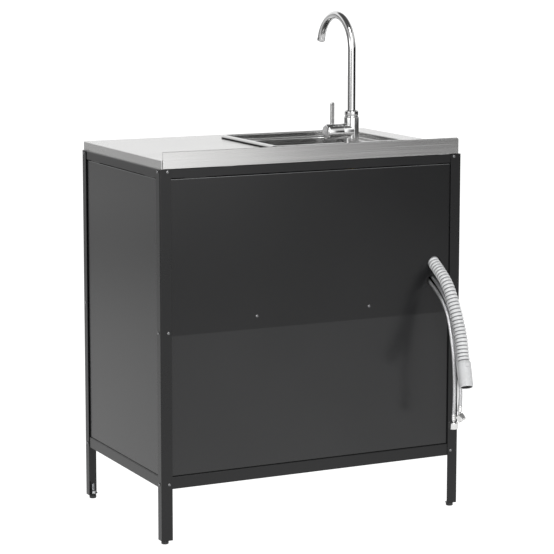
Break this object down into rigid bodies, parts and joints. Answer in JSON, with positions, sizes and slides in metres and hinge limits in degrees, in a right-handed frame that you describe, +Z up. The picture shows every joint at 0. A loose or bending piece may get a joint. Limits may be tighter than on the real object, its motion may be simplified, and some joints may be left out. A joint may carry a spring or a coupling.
{
  "type": "outdoor kitchen unit",
  "caption": "Freestanding steel outdoor kitchen cabinet with stainless worktop, inset sink, swivel tap, hinged doors, drain and supply hoses through the back.",
  "frame": {"origin": "on the floor, under the middle of the unit's box without its hoses", "axes": "+X to the right seen from the door side, +Y towards the back panel, +Z up"},
  "size_m": [0.865, 0.7626, 1.323],
  "materials": {
    "frame_coat": "dark grey powder coat, satin",
    "panel_coat": "dark grey powder coat, satin",
    "screw_coat": "dark coated steel",
    "zinc": "zinc plated steel",
    "glide_plastic": "black moulded plastic on a steel stud",
    "satin_steel": "satin stainless",
    "white_plastic": "white moulded plastic",
    "brushed_stainless": "brushed stainless steel",
    "black_rubber": "black rubber",
    "grey_hose_plastic": "light grey flexible plastic",
    "tap_steel": "polished and lightly brushed metal",
    "brass": "machined brass",
    "steel_braid": "stainless wire braid",
    "nickel": "nickel plated"
  },
  "bodies": {
    "cabinet": {"post_front_left": "frame_coat", "post_front_right": "frame_coat", "post_back_left": "frame_coat", "post_back_right": "frame_coat", "foot_nuts": "zinc", "top_rail_front": "frame_coat", "top_rail_back": "frame_coat", "top_rail_left": "frame_coat", "top_rail_right": "frame_coat", "bottom_tray": "frame_coat", "shelf_rails": "frame_coat", "mid_shelf": "frame_coat", "back_panel_upper": "panel_coat", "back_panel_lower": "panel_coat", "side_panel_left": "panel_coat", "side_panel_right": "panel_coat", "frame_screws": "screw_coat", "frame_nuts": "zinc", "panel_spacers": "zinc", "hinge_frame_leaves": "satin_steel", "hinge_pins": "satin_steel", "magnet_catches": "white_plastic", "worktop": "brushed_stainless", "worktop_braces": "zinc", "sink_bowl": "brushed_stainless", "sink_seal": "black_rubber", "sink_clips": "zinc", "waste_cup": "brushed_stainless", "waste_locknut": "white_plastic", "trap_body": "white_plastic", "drain_hose_nut": "white_plastic", "drain_hose": "grey_hose_plastic", "drain_hose_cuff": "grey_hose_plastic", "tap_base_ring": "tap_steel", "tap_body": "tap_steel", "tap_cartridge": "white_plastic", "tap_shank": "brass", "tap_mount_nut": "brass", "supply_hose_cold": "steel_braid", "supply_hose_hot": "steel_braid", "supply_hose_ferrules": "nickel", "supply_hose_nuts": "nickel"},
    "door_left": {"door_left": "panel_coat", "door_handle_left": "satin_steel", "hinge_door_leaves_left": "satin_steel", "strike_plate_left": "satin_steel"},
    "door_right": {"door_right": "panel_coat", "door_handle_right": "satin_steel", "hinge_door_leaves_right": "satin_steel", "strike_plate_right": "satin_steel"},
    "strainer": {"strainer_basket": "brushed_stainless"},
    "tap_control": {"tap_cap": "tap_steel", "tap_stem": "tap_steel"},
    "tap_lever_arm": {"tap_lever": "tap_steel"},
    "spout": {"tap_spout": "tap_steel", "tap_aerator": "tap_steel"},
    "leveller_front_left": {"foot_front_left": "glide_plastic"},
    "leveller_front_right": {"foot_front_right": "glide_plastic"},
    "leveller_back_left": {"foot_back_left": "glide_plastic"},
    "leveller_back_right": {"foot_back_right": "glide_plastic"}
  },
  "joints": [
    {"name": "door_left_hinge", "type": "hinge", "parent": "cabinet", "child": "door_left", "pos_m": [-0.39925, -0.2498, 0.5], "axis": [0, 0, -1], "range_deg": [0, 115]},
    {"name": "door_right_hinge", "type": "hinge", "parent": "cabinet", "child": "door_right", "pos_m": [0.39925, -0.2498, 0.5], "axis": [0, 0, 1], "range_deg": [0, 115]},
    {"name": "spout_swivel", "type": "hinge", "parent": "cabinet", "child": "spout", "pos_m": [-0.133, 0.219, 1.05], "axis": [0, 0, 1], "range_deg": [-120, 120]},
    {"name": "tap_temperature", "type": "hinge", "parent": "cabinet", "child": "tap_control", "pos_m": [-0.103, 0.219, 1.018], "axis": [1, 0, 0], "range_deg": [-45, 45]},
    {"name": "tap_flow", "type": "hinge", "parent": "tap_control", "child": "tap_lever_arm", "pos_m": [-0.077, 0.219, 1.018], "axis": [0, 1, 0], "range_deg": [0, 18]},
    {"name": "strainer_lift", "type": "slide", "parent": "cabinet", "child": "strainer", "axis": [0, 0, 1], "range_m": [0, 0.012]},
    {"name": "leveller_front_left_screw", "type": "slide", "parent": "cabinet", "child": "leveller_front_left", "axis": [0, 0, -1], "range_m": [0, 0.015]},
    {"name": "leveller_front_right_screw", "type": "slide", "parent": "cabinet", "child": "leveller_front_right", "axis": [0, 0, -1], "range_m": [0, 0.015]},
    {"name": "leveller_back_left_screw", "type": "slide", "parent": "cabinet", "child": "leveller_back_left", "axis": [0, 0, -1], "range_m": [0, 0.015]},
    {"name": "leveller_back_right_screw", "type": "slide", "parent": "cabinet", "child": "leveller_back_right", "axis": [0, 0, -1], "range_m": [0, 0.015]}
  ]
}
